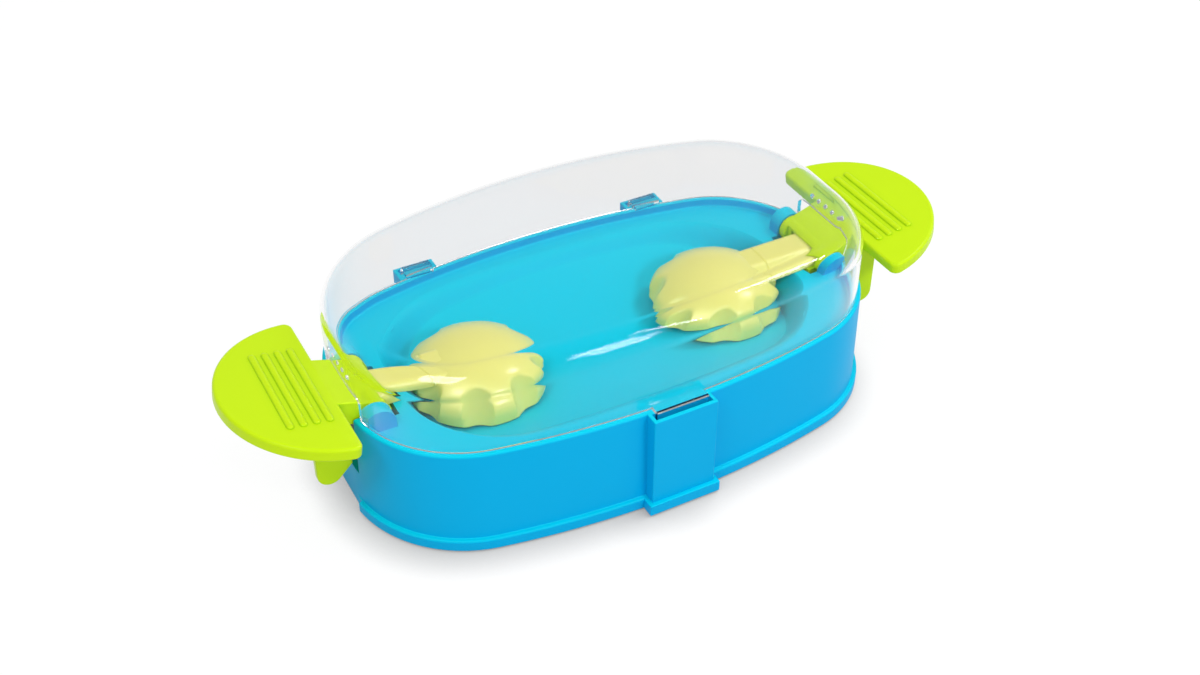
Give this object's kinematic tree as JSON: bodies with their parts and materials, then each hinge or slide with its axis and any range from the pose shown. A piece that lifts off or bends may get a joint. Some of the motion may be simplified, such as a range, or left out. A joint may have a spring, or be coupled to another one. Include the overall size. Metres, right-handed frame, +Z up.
{
  "type": "dog puzzle toy",
  "caption": "Oval treat puzzle for dogs: a tray under a clear arched cover, with end paddles on see-saw arms that lift fluted paws off the treats when pressed.",
  "frame": {"origin": "middle of the footprint, on the surface the feet stand on", "axes": "+X along the length towards the right paddle, +Y to the back where the cover hinges, +Z up"},
  "size_m": [0.3746, 0.165, 0.1005],
  "materials": {
    "blue_plastic": "satin moulded",
    "clear_plastic": "clear polished",
    "lime_plastic": "satin moulded",
    "yellow_plastic": "satin moulded",
    "steel": "plated",
    "foot_rubber": "matte"
  },
  "bodies": {
    "base": {"base_shell": "blue_plastic", "left_axle": "steel", "right_axle": "steel", "foot_front_left": "foot_rubber", "foot_front_right": "foot_rubber", "foot_back_left": "foot_rubber", "foot_back_right": "foot_rubber"},
    "left_lever": {"left_paddle": "lime_plastic", "left_paw": "yellow_plastic", "left_arm_screw": "steel"},
    "right_lever": {"right_paddle": "lime_plastic", "right_paw": "yellow_plastic", "right_arm_screw": "steel"},
    "cover": {"clear_cover": "clear_plastic"}
  },
  "joints": [
    {"name": "left_press", "type": "hinge", "parent": "base", "child": "left_lever", "pos_m": [-0.1225, 0.003, 0.0545], "axis": [0, -1, 0], "range_deg": [0, 10]},
    {"name": "right_press", "type": "hinge", "parent": "base", "child": "right_lever", "pos_m": [0.1225, 0.003, 0.0545], "axis": [0, 1, 0], "range_deg": [0, 10]},
    {"name": "cover_hinge", "type": "hinge", "parent": "base", "child": "cover", "pos_m": [0, 0.0784, 0.0545], "axis": [-1, 0, 0], "range_deg": [0, 45]}
  ]
}
